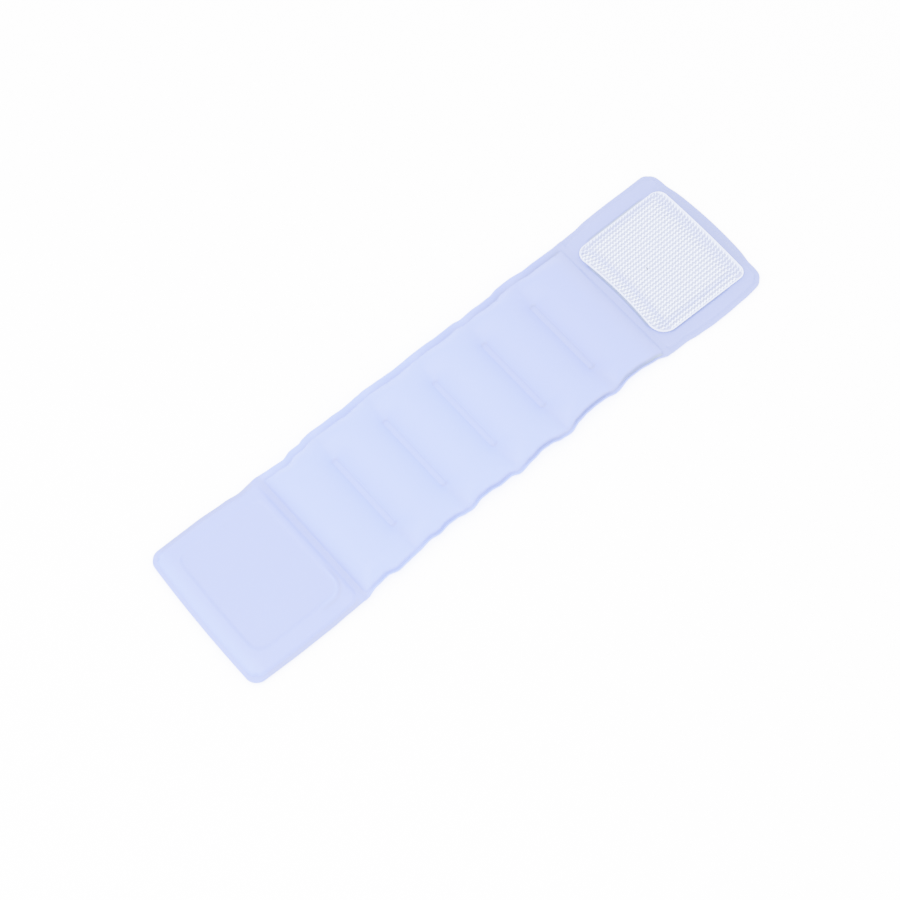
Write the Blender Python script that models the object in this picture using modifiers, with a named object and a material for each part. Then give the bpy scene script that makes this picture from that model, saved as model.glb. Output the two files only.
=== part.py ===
"""Cooling wristband, lying open and flat with its printed side up.

Two plastic films are welded to each other along the rim, along two cross seams and along
five short bars. The cross seams part the band into two tabs and a pouch, and the bars part
the gel in the pouch into six lobes. A hook patch lies on the right-hand tab and its mate lies
under the left-hand tab. Lengths are in metres. X runs along the band to the hook patch, Y
runs to its back edge, and Z is up from the surface that the band lies on.
"""
import math

import bmesh
import bpy

# Band
BAND_WIDTH = 0.0600
TAB_LENGTH = 0.0473
CORNER_RADIUS = 0.0044
FILM = 0.0006
CLEARANCE = 0.0003

# Welds
FLANGE = 0.0023
CROSS_SEAM = 0.0018
BAR_COUNT = 5
BAR_PITCH = 0.02246
END_LOBE = 0.0242
BAR_LENGTH = 0.0320
BAR_WIDTH = 0.0026

# Gel lobes
LOBE_RISE = 0.0038
END_WALL = 0.0070
POUCH_WELD_HEIGHT = 0.0024
RIGHT_SEAM_HEIGHT = 0.0011

# Rim
HEM_PULL = 0.0025
HEM_CURL = 0.0024
RIM_DROOP = 0.0011

# Bow of the two ends, and how far one end of each runs ahead of the other
RIGHT_BOW = 0.0018
RIGHT_SKEW = -0.0004
LEFT_BOW = 0.0006
LEFT_SKEW = -0.0006

# Hook patch, on the right-hand tab, with its distances to the seam, the end and the sides
HOOK_SEAM_MARGIN = 0.00235
HOOK_END_MARGIN = 0.00445
HOOK_SIDE_MARGIN = 0.0070
HOOK_THICKNESS = 0.0015
HOOK_RADIUS = 0.0042
HOOK_BOW = 0.0007

# Loop patch, under the left-hand tab
LOOP_SEAM_MARGIN = 0.00165
LOOP_END_MARGIN = 0.00515
LOOP_SIDE_MARGIN = 0.0070
LOOP_THICKNESS = 0.0014
LOOP_RADIUS = 0.0042

# Patch edges
EDGE_SLOPE = 0.0012
EDGE_DROP = 0.0004

# Mark of the loop patch in the left-hand tab
PANEL_INSET = 0.00225
PANEL_RIDGE = 0.0007
PANEL_LIFT = 0.0001
RIDGE_WIDTH = 0.0016

# Colours
FILM_COLOR = (0.60, 0.67, 0.90, 1.0)
GEL_COLOR = (0.35, 0.55, 0.85, 1.0)
HOOK_COLOR = (0.80, 0.82, 0.88, 1.0)
LOOP_COLOR = (0.78, 0.80, 0.86, 1.0)

# Shares of a lobe's width at which the mesh has a line
LOBE_SHARES = (0.06, 0.15, 0.31, 0.5, 0.69, 0.85, 0.94)

# How far the rim is drawn in, as shares of HEM_PULL, and how far it curls up, as shares of
# HEM_CURL. A place is counted in lobes from the left cross seam: whole numbers are bars and
# seams, halves are lobes, and the tabs lie below 0 and above 6.
HEM = (
    # place, front in, back in, front curl, back curl
    (-1.00, 0.16, 0.24, 0.00, 0.00),
    (-0.55, 0.08, 0.26, 0.00, 0.00),
    (-0.17, 0.06, 0.84, 0.00, 0.10),
    (0.00, 0.16, 0.78, 0.10, 0.15),
    (0.50, 0.38, 1.15, 0.50, 0.35),
    (1.00, 0.42, 0.54, 0.22, 0.20),
    (1.50, 0.70, 0.72, 0.80, 0.70),
    (2.00, 0.34, 0.42, 0.22, 0.20),
    (2.50, 0.64, 0.76, 0.90, 0.70),
    (3.00, 0.20, 0.56, 0.20, 0.22),
    (3.50, 0.62, 0.64, 0.95, 0.70),
    (4.00, 0.04, 0.80, 0.15, 0.15),
    (4.50, 0.84, 0.80, 0.95, 0.70),
    (5.00, 0.60, 0.52, 0.20, 0.25),
    (5.50, 0.92, 0.80, 1.00, 0.75),
    (6.00, 0.20, 0.72, 0.25, 0.30),
    (6.17, 0.20, 0.40, 0.00, 0.05),
    (6.50, 0.00, 0.06, 0.00, 0.00),
    (7.00, 0.24, 0.20, 0.00, 0.00),
)

# Places and levels that follow from the sizes
POUCH_LENGTH = (BAR_COUNT - 1) * BAR_PITCH + 2 * END_LOBE
HALF_LENGTH = POUCH_LENGTH / 2 + TAB_LENGTH
HALF_WIDTH = BAND_WIDTH / 2
WELD_Y = HALF_WIDTH - FLANGE
SEAM_IN = (POUCH_LENGTH - CROSS_SEAM) / 2
SEAM_OUT = (POUCH_LENGTH + CROSS_SEAM) / 2
BAR_TIP = (BAR_LENGTH - BAR_WIDTH) / 2
BARS = [(i - (BAR_COUNT - 1) / 2) * BAR_PITCH for i in range(BAR_COUNT)]
LOBE_HALF = (BAR_PITCH - BAR_WIDTH) / 2
FLAT_LEVEL = FILM + CLEARANCE / 2
LEFT_LEVEL = LOOP_THICKNESS + CLEARANCE + FLAT_LEVEL
HOOK_BASE = 2 * FILM + 2 * CLEARANCE
HOOK_LENGTH = TAB_LENGTH - HOOK_SEAM_MARGIN - HOOK_END_MARGIN
HOOK_WIDTH = BAND_WIDTH - 2 * HOOK_SIDE_MARGIN
HOOK_X = POUCH_LENGTH / 2 + HOOK_SEAM_MARGIN + HOOK_LENGTH / 2
LOOP_LENGTH = TAB_LENGTH - LOOP_SEAM_MARGIN - LOOP_END_MARGIN
LOOP_WIDTH = BAND_WIDTH - 2 * LOOP_SIDE_MARGIN
LOOP_X = POUCH_LENGTH / 2 + LOOP_SEAM_MARGIN + LOOP_LENGTH / 2
PANEL_LENGTH = LOOP_LENGTH - 2 * PANEL_INSET
PANEL_WIDTH = LOOP_WIDTH - 2 * PANEL_INSET
PANEL_RADIUS = LOOP_RADIUS - PANEL_INSET / 2


def ease(share):
    """Go from 0 to 1 with level ends."""
    share = min(1.0, max(0.0, share))
    return share * share * (3 - 2 * share)


def place_x(place):
    """Turn a place of the rim table into a distance along the band."""
    lobes = BAR_COUNT + 1
    if place < 0:
        return -POUCH_LENGTH / 2 + place * (HALF_LENGTH - POUCH_LENGTH / 2)
    if place > lobes:
        return POUCH_LENGTH / 2 + (place - lobes) * (HALF_LENGTH - POUCH_LENGTH / 2)
    marks = [-POUCH_LENGTH / 2] + BARS + [POUCH_LENGTH / 2]
    low = min(int(place), lobes - 1)
    return marks[low] + (place - low) * (marks[low + 1] - marks[low])


def hem_value(x, column):
    """Read a column of the rim table at a distance along the band."""
    rows = [(place_x(row[0]), row[column]) for row in HEM if row[0] <= BAR_COUNT + 2]
    if x <= rows[0][0]:
        return rows[0][1]
    for (x0, v0), (x1, v1) in zip(rows, rows[1:]):
        if x <= x1:
            return v0 + (v1 - v0) * ease((x - x0) / (x1 - x0))
    return rows[-1][1]


def round_corner(x, y, half_x, half_y, radius):
    """Wrap the square corner of a sheet onto an arc."""
    dx = abs(x) - (half_x - radius)
    dy = abs(y) - (half_y - radius)
    if dx <= 0 or dy <= 0:
        return x, y
    scale = max(dx, dy) / math.hypot(dx, dy)
    new_x = half_x - radius + dx * scale
    new_y = half_y - radius + dy * scale
    return math.copysign(new_x, x), math.copysign(new_y, y)


def band_plan(x, y):
    """Place a point of the flat band in plan: round corners, drawn-in rim, bowed ends."""
    new_x, new_y = round_corner(x, y, HALF_LENGTH, HALF_WIDTH, CORNER_RADIUS)
    inner = BAR_LENGTH / 2
    share = min(1.0, max(0.0, (abs(y) - inner) / (WELD_Y - inner)))
    pull = hem_value(x, 1 if y < 0 else 2) * HEM_PULL * share
    new_y -= math.copysign(pull, y)
    side = y / (HALF_WIDTH - CORNER_RADIUS)
    along = max(0.0, (abs(x) - SEAM_OUT) / (HALF_LENGTH - SEAM_OUT))
    if x > 0:
        new_x -= (RIGHT_BOW * side * side - RIGHT_SKEW * side) * along
    else:
        new_x += (LEFT_BOW * side * side - LEFT_SKEW * side) * along
    return new_x, new_y


def outside_box(x, y, half_x, half_y, radius):
    """Distance outside a round-cornered rectangle, negative inside it."""
    dx = abs(x) - (half_x - radius)
    dy = abs(y) - (half_y - radius)
    return math.hypot(max(dx, 0), max(dy, 0)) + min(max(dx, dy), 0) - radius


def weld_level(x, y):
    """Height of the plane where the two films meet."""
    if x <= -SEAM_IN:
        beyond = outside_box(x + LOOP_X, y, LOOP_LENGTH / 2, LOOP_WIDTH / 2, LOOP_RADIUS)
        reach = HALF_WIDTH - LOOP_WIDTH / 2
        level = LEFT_LEVEL - RIM_DROOP * ease(beyond / reach) * ease((-x - SEAM_OUT) / END_WALL)
    elif x <= BARS[0]:
        level = LEFT_LEVEL + (POUCH_WELD_HEIGHT - LEFT_LEVEL) * ease((x + SEAM_IN) / LOBE_HALF)
    elif x <= BARS[-1]:
        level = POUCH_WELD_HEIGHT
    elif x <= SEAM_IN:
        share = (x - BARS[-1]) / (SEAM_IN - BARS[-1])
        level = POUCH_WELD_HEIGHT + (RIGHT_SEAM_HEIGHT - POUCH_WELD_HEIGHT) * ease(share)
    elif x <= SEAM_OUT:
        level = RIGHT_SEAM_HEIGHT
    else:
        hook_edge = HOOK_X - HOOK_LENGTH / 2 - CLEARANCE
        share = (x - SEAM_OUT) / max(hook_edge - SEAM_OUT, CLEARANCE)
        level = RIGHT_SEAM_HEIGHT + (FLAT_LEVEL - RIGHT_SEAM_HEIGHT) * min(1.0, share)
    rim = max(0.0, (abs(y) - WELD_Y) / FLANGE)
    return level + hem_value(x, 3 if y < 0 else 4) * HEM_CURL * rim


def lobe_fill(x, y):
    """How full the pouch is at a point, 0 at every weld and 1 on a lobe's crown."""
    if abs(x) >= SEAM_IN or abs(y) >= WELD_Y:
        return 0.0
    fill = 1 - (1 - min(1.0, (SEAM_IN - abs(x)) / LOBE_HALF)) ** 2.2
    past_tip = 0.6 * max(0.0, abs(y) - BAR_TIP)
    for bar in BARS:
        reach = math.hypot(x - bar, past_tip) - BAR_WIDTH / 2
        fill *= 1 - (1 - min(1.0, max(0.0, reach / LOBE_HALF))) ** 1.8
    wall = 1 - min(1.0, (WELD_Y - abs(y)) / END_WALL)
    return fill * math.sqrt(1 - wall * wall)


def tab_lift(x, y):
    """Lift of the upper film over the left-hand tab, with the ridge round the pressed panel."""
    if x > -SEAM_OUT or x < FLANGE - HALF_LENGTH or abs(y) > WELD_Y:
        return 0.0
    beyond = outside_box(x + LOOP_X, y, PANEL_LENGTH / 2, PANEL_WIDTH / 2, PANEL_RADIUS)
    if beyond <= 0:
        return PANEL_LIFT
    if beyond <= RIDGE_WIDTH:
        return PANEL_LIFT + (PANEL_RIDGE - PANEL_LIFT) * ease(beyond / RIDGE_WIDTH)
    edge = min(WELD_Y - abs(y), x + HALF_LENGTH - FLANGE, -SEAM_OUT - x)
    return PANEL_RIDGE * min(1.0, edge / (edge + beyond - RIDGE_WIDTH))


def upper_skin(x, y):
    """Inner face of the upper film."""
    return weld_level(x, y) + CLEARANCE / 2 + LOBE_RISE * lobe_fill(x, y) + tab_lift(x, y)


def lower_skin(x, y):
    """Inner face of the lower film, which lies flat under each full lobe."""
    edge = weld_level(x, y) - CLEARANCE / 2
    return edge - (edge - FILM) * min(1.0, 2.2 * lobe_fill(x, y))


def lobe_lines():
    """Mesh lines across the pouch: both edges of every weld and several within each lobe."""
    edges = [-SEAM_IN]
    for bar in BARS:
        edges += [bar - BAR_WIDTH / 2, bar + BAR_WIDTH / 2]
    edges.append(SEAM_IN)
    lines = []
    for low, high in zip(edges[::2], edges[1::2]):
        lines += [low] + [low + share * (high - low) for share in LOBE_SHARES] + [high]
    return lines


def band_lines():
    """Mesh lines across the whole band."""
    ends = [HALF_LENGTH, HALF_LENGTH - FLANGE / 2, HALF_LENGTH - FLANGE]
    ends.append(HALF_LENGTH - CORNER_RADIUS)
    left = [-x for x in ends]
    left += [-LOOP_X - PANEL_LENGTH / 2 - RIDGE_WIDTH, -LOOP_X - PANEL_LENGTH / 2, -LOOP_X]
    left += [-LOOP_X + PANEL_LENGTH / 2, -LOOP_X + PANEL_LENGTH / 2 + RIDGE_WIDTH, -SEAM_OUT]
    right = [SEAM_OUT, HOOK_X - HOOK_LENGTH / 2 - CLEARANCE, HOOK_X] + ends[::-1]
    return sorted(left) + lobe_lines() + sorted(right)


def rim_lines(upper):
    """Mesh lines along the band, from the front edge to the back edge."""
    tip = BAR_LENGTH / 2
    past = tip + BAR_WIDTH
    near = HALF_WIDTH - CORNER_RADIUS
    half = [HALF_WIDTH, HALF_WIDTH - FLANGE / 2, WELD_Y, near, (near + past) / 2, past, BAR_TIP]
    if upper:
        half += [WELD_Y - 0.13 * END_WALL, tip]
    half = sorted(half)
    return [-y for y in reversed(half)] + half


def grid(xs, ys):
    """A flat sheet with its lines at the given distances."""
    bm = bmesh.new()
    nx = len(xs) - 1
    ny = len(ys) - 1
    bmesh.ops.create_grid(bm, x_segments=nx, y_segments=ny, size=1)
    for vert in bm.verts:
        i = round((vert.co.x + 1) / 2 * nx)
        j = round((vert.co.y + 1) / 2 * ny)
        vert.co = (xs[i], ys[j], 0)
    return bm


def thicken(bm, lower, upper):
    """Close a flat sheet into a solid between two surfaces."""
    bottom = list(bm.verts)
    kept = bmesh.ops.extrude_face_region(bm, geom=bm.faces[:], use_keep_orig=True)
    top = [item for item in kept["geom"] if isinstance(item, bmesh.types.BMVert)]
    for vert in bottom:
        vert.co = lower(vert.co.x, vert.co.y)
    for vert in top:
        vert.co = upper(vert.co.x, vert.co.y)
    bmesh.ops.recalc_face_normals(bm, faces=bm.faces[:])


def add_object(name, bm, collection, material, location=(0, 0, 0)):
    """Turn a mesh into a named object with its own material."""
    mesh = bpy.data.meshes.new(name)
    bm.to_mesh(mesh)
    bm.free()
    mesh.materials.append(material)
    obj = bpy.data.objects.new(name, mesh)
    obj.location = location
    collection.objects.link(obj)
    return obj


def make_material(name, color, roughness):
    material = bpy.data.materials.new(name)
    material.use_nodes = True
    shader = material.node_tree.nodes["Principled BSDF"]
    shader.inputs["Base Color"].default_value = color
    shader.inputs["Roughness"].default_value = roughness
    shader.inputs["Metallic"].default_value = 0.0
    return material


def make_film(name, upper, collection, material):
    """One film: an open surface on its inner face, thickened outward."""
    skin = upper_skin if upper else lower_skin
    bm = grid(band_lines(), rim_lines(upper))
    for vert in bm.verts:
        x, y = vert.co.x, vert.co.y
        vert.co = (*band_plan(x, y), skin(x, y))
    if not upper:
        bmesh.ops.reverse_faces(bm, faces=bm.faces[:])
    film = add_object(name, bm, collection, material)
    shell = film.modifiers.new("Film thickness", "SOLIDIFY")
    shell.thickness = FILM
    shell.offset = 1
    shell.use_even_offset = True
    shell.use_quality_normals = True
    return film


def make_gel(name, collection, material):
    """The gel: it fills the lobes and is slotted where the bars join the films."""
    xs = lobe_lines()[2:-2]
    ys = rim_lines(False)[3:-3]
    bm = grid(xs, ys)
    slot_x = BAR_WIDTH / 2 + LOBE_SHARES[1] * 2 * LOBE_HALF + CLEARANCE
    slot_y = BAR_LENGTH / 2 + BAR_WIDTH + CLEARANCE
    slots = []
    for face in bm.faces:
        middle = face.calc_center_median()
        near_bar = min(abs(middle.x - bar) for bar in BARS)
        if near_bar < slot_x and abs(middle.y) < slot_y:
            slots.append(face)
    bmesh.ops.delete(bm, geom=slots, context="FACES")
    gap = 1.5 * CLEARANCE

    def under(x, y):
        return (*band_plan(x, y), lower_skin(x, y) + gap)

    def over(x, y):
        return (*band_plan(x, y), upper_skin(x, y) - gap)

    thicken(bm, under, over)
    return add_object(name, bm, collection, material)


def make_patch(name, size, thickness, radius, bow, location, sign, collection, material):
    """A patch with a flat face and a rim that falls away on that face's side."""
    half_x, half_y = size[0] / 2, size[1] / 2
    offsets = (0.0, EDGE_SLOPE, (EDGE_SLOPE + radius) / 2, radius)
    xs = sorted([half_x - o for o in offsets] + [o - half_x for o in offsets] + [0.0])
    ys = sorted([half_y - o for o in offsets] + [o - half_y for o in offsets] + [0.0])
    bm = grid(xs, ys)

    def plan(x, y):
        new_x, new_y = round_corner(x, y, half_x, half_y, radius)
        return new_x - bow * (y / half_y) ** 2, new_y

    def rim(x, y):
        edge = min(half_x - abs(x), half_y - abs(y))
        return EDGE_DROP * (1 - min(1.0, edge / EDGE_SLOPE))

    def back(x, y):
        return (*plan(x, y), 0.0 if sign > 0 else thickness)

    def face(x, y):
        return (*plan(x, y), thickness - rim(x, y) if sign > 0 else rim(x, y))

    if sign > 0:
        thicken(bm, back, face)
    else:
        thicken(bm, face, back)
    return add_object(name, bm, collection, material, location)


def centre(objects):
    """Put the origin under the middle of the band, on the surface it lies on."""
    bpy.context.view_layer.update()
    graph = bpy.context.evaluated_depsgraph_get()
    low = [math.inf] * 3
    high = [-math.inf] * 3
    for obj in objects:
        shape = obj.evaluated_get(graph)
        for vert in shape.to_mesh().vertices:
            point = obj.matrix_world @ vert.co
            low = [min(a, b) for a, b in zip(low, point)]
            high = [max(a, b) for a, b in zip(high, point)]
        shape.to_mesh_clear()
    for obj in objects:
        obj.location.x -= (low[0] + high[0]) / 2
        obj.location.y -= (low[1] + high[1]) / 2
        obj.location.z -= low[2]


def main():
    for obj in list(bpy.data.objects):
        bpy.data.objects.remove(obj, do_unlink=True)
    band = bpy.data.collections.new("cooling_wristband")
    bpy.context.scene.collection.children.link(band)
    film = make_material("film", FILM_COLOR, 0.55)
    gel = make_material("gel", GEL_COLOR, 0.2)
    hook = make_material("hook", HOOK_COLOR, 0.8)
    loop = make_material("loop", LOOP_COLOR, 0.9)
    make_film("top_film", True, band, film)
    make_film("bottom_film", False, band, film)
    make_gel("gel_core", band, gel)
    make_patch("hook_patch", (HOOK_LENGTH, HOOK_WIDTH), HOOK_THICKNESS, HOOK_RADIUS, HOOK_BOW,
               (HOOK_X, 0, HOOK_BASE), 1, band, hook)
    make_patch("loop_patch", (LOOP_LENGTH, LOOP_WIDTH), LOOP_THICKNESS, LOOP_RADIUS, 0.0,
               (-LOOP_X, 0, 0), -1, band, loop)
    centre(band.objects)


main()
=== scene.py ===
"""The cooling wristband dressed for its picture: welded films, gel lobes, hook and loop patches."""
import math

import bpy
import numpy as np
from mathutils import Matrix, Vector


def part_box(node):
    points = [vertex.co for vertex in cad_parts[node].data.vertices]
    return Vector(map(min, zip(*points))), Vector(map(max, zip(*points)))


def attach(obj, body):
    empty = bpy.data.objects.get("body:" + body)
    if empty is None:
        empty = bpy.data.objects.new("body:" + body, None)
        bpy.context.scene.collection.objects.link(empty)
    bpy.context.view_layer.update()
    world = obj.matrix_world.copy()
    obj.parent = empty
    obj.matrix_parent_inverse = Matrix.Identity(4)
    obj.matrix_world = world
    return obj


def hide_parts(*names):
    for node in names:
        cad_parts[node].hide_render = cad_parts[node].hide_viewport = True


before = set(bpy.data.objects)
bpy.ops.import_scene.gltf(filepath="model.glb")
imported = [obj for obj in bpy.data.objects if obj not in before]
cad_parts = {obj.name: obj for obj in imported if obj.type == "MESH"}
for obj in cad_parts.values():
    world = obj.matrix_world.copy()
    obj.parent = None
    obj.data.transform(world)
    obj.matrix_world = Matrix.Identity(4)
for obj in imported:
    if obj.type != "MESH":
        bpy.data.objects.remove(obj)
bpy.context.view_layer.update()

MM = 0.001

# The band's sizes in millimetres: the model's, or a little nearer to the photograph
BAND_WIDTH = 60.0
TAB_LENGTH = 47.3
CORNER_RADIUS = 4.4
WELD = 1.75
CROSS_SEAM = 1.8
BAR_COUNT = 5
BAR_PITCH = 22.46
END_LOBE = 24.2
BAR_LENGTH = 32.0
BAR_WIDTH = 2.6
BAR_Y = -0.4
LOBE_RISE = 3.8
POUCH_WELD_HEIGHT = 2.4
RIGHT_SEAM_HEIGHT = 1.1
FILM = 0.6
CLEARANCE = 0.3

# Half the rim's thickness, and the place of the plan that goes to the origin
EDGE = 0.42
CENTRE = (-0.25, -0.29)

# Patches: middle along the band, length, width and corners, and the hook patch's bows and shift
LOOP_THICKNESS = 1.4
LOOP_X, LOOP_LENGTH, LOOP_WIDTH, LOOP_RADIUS = 91.02, 40.5, 46.0, 4.2
HOOK_X, HOOK_LENGTH, HOOK_WIDTH = 91.72, 41.7, 45.5
HOOK_RADII = {"front left": 7.2, "back left": 4.8, "front right": 3.2, "back right": 4.2}
HOOK_LEFT_BOW, HOOK_RIGHT_BOW, HOOK_FRONT_TILT = 1.8, 0.5, 0.4
HOOK_SHIFT = (-0.37, -0.74)

# Rim: how far it is drawn in and curled up where the HEM table says 1, and its flange's width
HEM_PULL = 2.5
HEM_CURL = {"front": 1.3, "back": 2.4}
CURL_POWER = 1.15
RIM_DROOP = 1.1
FRONT_SQUEEZE, BACK_SPREAD = 0.50, 0.65
FRONT_REACH, POUCH_REACH_LOSS = 0.30, 0.4
RIM_FADE = 5.0

# Bowed ends, and the shoulder on both corners of the right one
RIGHT_BOW, RIGHT_SKEW = 1.95, -0.5
LEFT_BOW, LEFT_SKEW = 0.6, -0.75
RIGHT_STRETCH, LEFT_STRETCH = 0.50, 0.25
SHOULDER, SHOULDER_Y, SHOULDER_WIDTH = 0.38, 20.5, 2.8

# Lobes: how steeply they rise from each weld, their dip past the bars' ends, and corners
END_WALL = 7.0
WALL_POWER, SEAM_POWER, BAR_POWER = 0.60, 2.2, 1.8
TIP_STRETCH, TIP_ROUND, TIP_REACH = 0.6, 1.8, 2.5
DIP_DEPTH, DIP_WIDTH, DIP_START, DIP_REACH = 0.32, 3.0, 19.0, 6.0
BOTTOM_ROUND = 2.2
POUCH_RADIUS, RIGHT_RADIUS = 1.6, 2.4
POCKET_RADII = {"front": 4.0, "back": 2.4}

# Trough along the left cross seam
SEAM_TROUGH, TROUGH_WIDTH, TROUGH_PAST_SEAM = 0.6, 2.3, 0.5

# Mark of the loop patch in the left tab, and the ridge round it
PANEL_X, PANEL_Y, PANEL_LENGTH, PANEL_WIDTH, PANEL_RADIUS = -91.1, 0.4, 33.6, 43.6, 4.0
PANEL_RIDGE, PANEL_LIFT, RIDGE_WIDTH = 0.80, 0.1, 1.5
RIDGE_BACK_LOSS, RIDGE_RIGHT_LOSS = 0.8, 0.45
RIDGE_BACK_FADE, RIDGE_RIGHT_FADE, RIDGE_SOFT_FADE = (-1.5, 3.0), (8.0, 6.0), (-6.0, 4.0)
POCKET_SOFT = 1.5

# Fold at the panel's right front corner and line at its left end: depths, and strips outside it
FOLD_FADE_X, FOLD_FADE_Y = (6.0, 6.0), (10.0, 7.0)
FOLD_RISE, FOLD_DEPTH, PANEL_LINE = 0.16, 0.26, 0.12
FOLD_CREST, FOLD_VALLEY, PANEL_LINE_STRIP = (1.4, 0.55), (2.7, 0.6), (-0.1, 0.5)
PANEL_LINE_X, PANEL_LINE_Y = (10.0, 4.0), (-20.0, 8.0)

# Narrow gap beside the hook patch, by side: half its length, its fade along and out, its reach
GAP = {
    "left": {"half": 18.0, "fade": 4.0, "reach": 0.62, "soft": 0.4},
    "back": {"half": 14.5, "fade": 3.0, "reach": 1.35, "soft": 0.5},
    "front": {"half": 14.5, "fade": 2.0, "reach": 0.55, "soft": 0.4},
}
GAP_FRONT_SHIFT, GAP_FRONT_SHARE = 1.9, 0.55
GAP_STRIP, GAP_LEFT_FADE, GAP_INSIDE_FADE = 2.0, (-1.6, 1.2), (-1.4, 0.5)

# Small marks in the upper film: bar welds, pocket lines, and the skin's rise beside the welds
BAR_CROWN, BAR_LINE, TIP_LINE = 0.14, 0.16, 0.08
CROWN_FADE, TIP_FADE, LINE_INSET, BAR_LINE_WIDTH = (0.35, 0.5), 0.8, 0.15, 0.30
AXIS_DIP, AXIS_WIDTH, AXIS_REACH = 0.20, 1.6, 2.5
POUCH_LINE, TAB_LINE, TAB_FRONT_LINE, TAB_END_LINE = 0.03, 0.02, 0.12, 0.14
TAB_FRONT_FADE, TAB_END_FADE = (22.0, 4.0), (-8.0, 4.0)
LINE_WIDTH, LINE_LIP, LIP_STRIP = 0.26, 0.6, (1.2, 0.5)
SKIN_REACH, SKIN_LIFT, SEAM_SKIN_REACH, SEAM_SKIN_WIDTH = 0.7, 0.25, 1.1, 3.0
TRENCH_DEPTH = 0.30

# Marks on the lower side, only where it lies clear of the surface
LOWER_CLEAR = 0.2
LOWER_RIM, LOWER_BAR, LOWER_WIDTH = 0.10, 0.12, 0.3

# Uneven height of the lobes: depth, wave length in millimetres and seed
SWELL, SWELL_LENGTH, SWELL_SEED = 0.10, 17.0, 0.7
DIMPLE, DIMPLE_LENGTH, DIMPLE_SEED = 0.035, 6.5, 2.1
PUCKER, PUCKER_LENGTH, PUCKER_SEED, PUCKER_STRETCH = 0.10, 3.1, 4.0, 0.25
PUCKER_START, PUCKER_REACH = 1.5, 5.0

# Places that follow from the sizes
LOBES = BAR_COUNT + 1
POUCH_LENGTH = (BAR_COUNT - 1) * BAR_PITCH + 2 * END_LOBE
HALF_LENGTH = POUCH_LENGTH / 2 + TAB_LENGTH
HALF_WIDTH = BAND_WIDTH / 2
WELD_Y = HALF_WIDTH - WELD
SEAM_IN = (POUCH_LENGTH - CROSS_SEAM) / 2
SEAM_OUT = (POUCH_LENGTH + CROSS_SEAM) / 2
TROUGH_X = TROUGH_PAST_SEAM - POUCH_LENGTH / 2
TAB_MIDDLE = (SEAM_OUT + HALF_LENGTH - WELD) / 2
TAB_HALF = (HALF_LENGTH - WELD - SEAM_OUT) / 2
BAR_TIP = (BAR_LENGTH - BAR_WIDTH) / 2
BARS = [(i - (BAR_COUNT - 1) / 2) * BAR_PITCH for i in range(BAR_COUNT)]
LOBE_HALF = (BAR_PITCH - BAR_WIDTH) / 2
FLAT_LEVEL = FILM + CLEARANCE / 2
LEFT_LEVEL = LOOP_THICKNESS + CLEARANCE + FLAT_LEVEL
SKIN = FLAT_LEVEL - EDGE

hook_low, hook_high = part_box("hook_patch")
loop_low, loop_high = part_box("loop_patch")


def box_middle(low, high):
    """Middle of a box in plan, in millimetres."""
    return (low[0] + high[0]) / 2 / MM, (low[1] + high[1]) / 2 / MM


hook_x, hook_y = np.add(box_middle(hook_low, hook_high), HOOK_SHIFT)
loop_x, loop_y = box_middle(loop_low, loop_high)

# Colors of the film: over gel, a little pressed, where no gel lies below it, a darker one, and in a crease.
# The darker ones also serve as painted shade, and the grey crease color is painted shade.
FILM_COLORS = ((0.081, 0.150, 0.710), (0.080, 0.118, 0.615), (0.082, 0.107, 0.465),
               (0.068, 0.088, 0.345), (0.130, 0.180, 0.290))

# How far each place moves the film's color along FILM_COLORS, from 0 to 1. A crease has the share at the
# left end of the pouch and what it gains towards the right. The gel-less tabs, the rims, the bar welds, the
# pocket lines and the panel are the film's own duller tones. The right lobes' growing share is painted shade
# where the light falls off towards the right. On the right seam, tab and end it is both the gel-less film
# and that painted shade. The left seam's strip is both its weld and painted shade in the trough beside it.
# The bar edges and tips are the weld's line and painted shade in its crease. The bar halos, the dips past
# the bars, the fold, the trench beside the hook patch and the creases are painted shade, and the fold's
# crest is a painted highlight.
TONE = {
    "left tab": 0.22, "right lobes": 0.25, "right seam": 0.22, "right tab": 0.05, "right end": 0.20,
    "pocket line": 0.04, "left rim": 0.26, "right rim": 0.04, "left seam": 0.20,
    "bar": 0.12, "bar edge": 0.04, "bar tip": 0.26, "bar halo": 0.03, "front axis": 0.11, "back axis": 0.05,
    "panel": 0.03, "fold": 0.18, "fold crest": 0.14, "trench": 0.42, "darkest": 0.92,
    "front crease": (0.20, 0.40), "back crease": (0.18, 0.22),
}

# Where those tones change: plain distances, soft steps by start and width, strips by place and width
RIGHT_LOBES_REACH, RIGHT_SEAM_START, RIGHT_TAB_FADE = 57.0, 58.0, (98.0, 12.0)
LEFT_TAB_FADE, LEFT_END_FADE = (-1.0, 2.0), (2.75, 5.0)
RIGHT_END_FADE, LAST_EDGE_FADE, LAST_EDGE_LOSS = (-6.5, 2.0), (-2.0, 0.8), 0.5
RIGHT_END_SIDE_FADE = (-26.0, 8.0)
LEFT_RIM_REACH, RIM_REACH = 3.0, 0.5
LEFT_SEAM_STRIP, POCKET_LINE_WIDTH = (0.1, 1.6), 0.5
CREASE_SIDE_FADE, CREASE_END_FADE, CREASE_DIP_LOSS = (20.0, 3.0), (-0.5, 3.0), 0.5
BAR_REACH, BAR_EDGE_STRIP, BAR_TIP_STRIP = 0.5, (-0.1, 0.4), (-0.1, 0.5)
AXIS_TONE_WIDTH, AXIS_TONE_REACH = 1.9, 3.0
PANEL_REACH = 1.2
FOLD_DARK, FOLD_LIGHT, CREASE_STRIP = (2.6, 0.6), (1.2, 0.55), (0.15, 0.55)
BAR_HALO_REACH = 2.2

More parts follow.
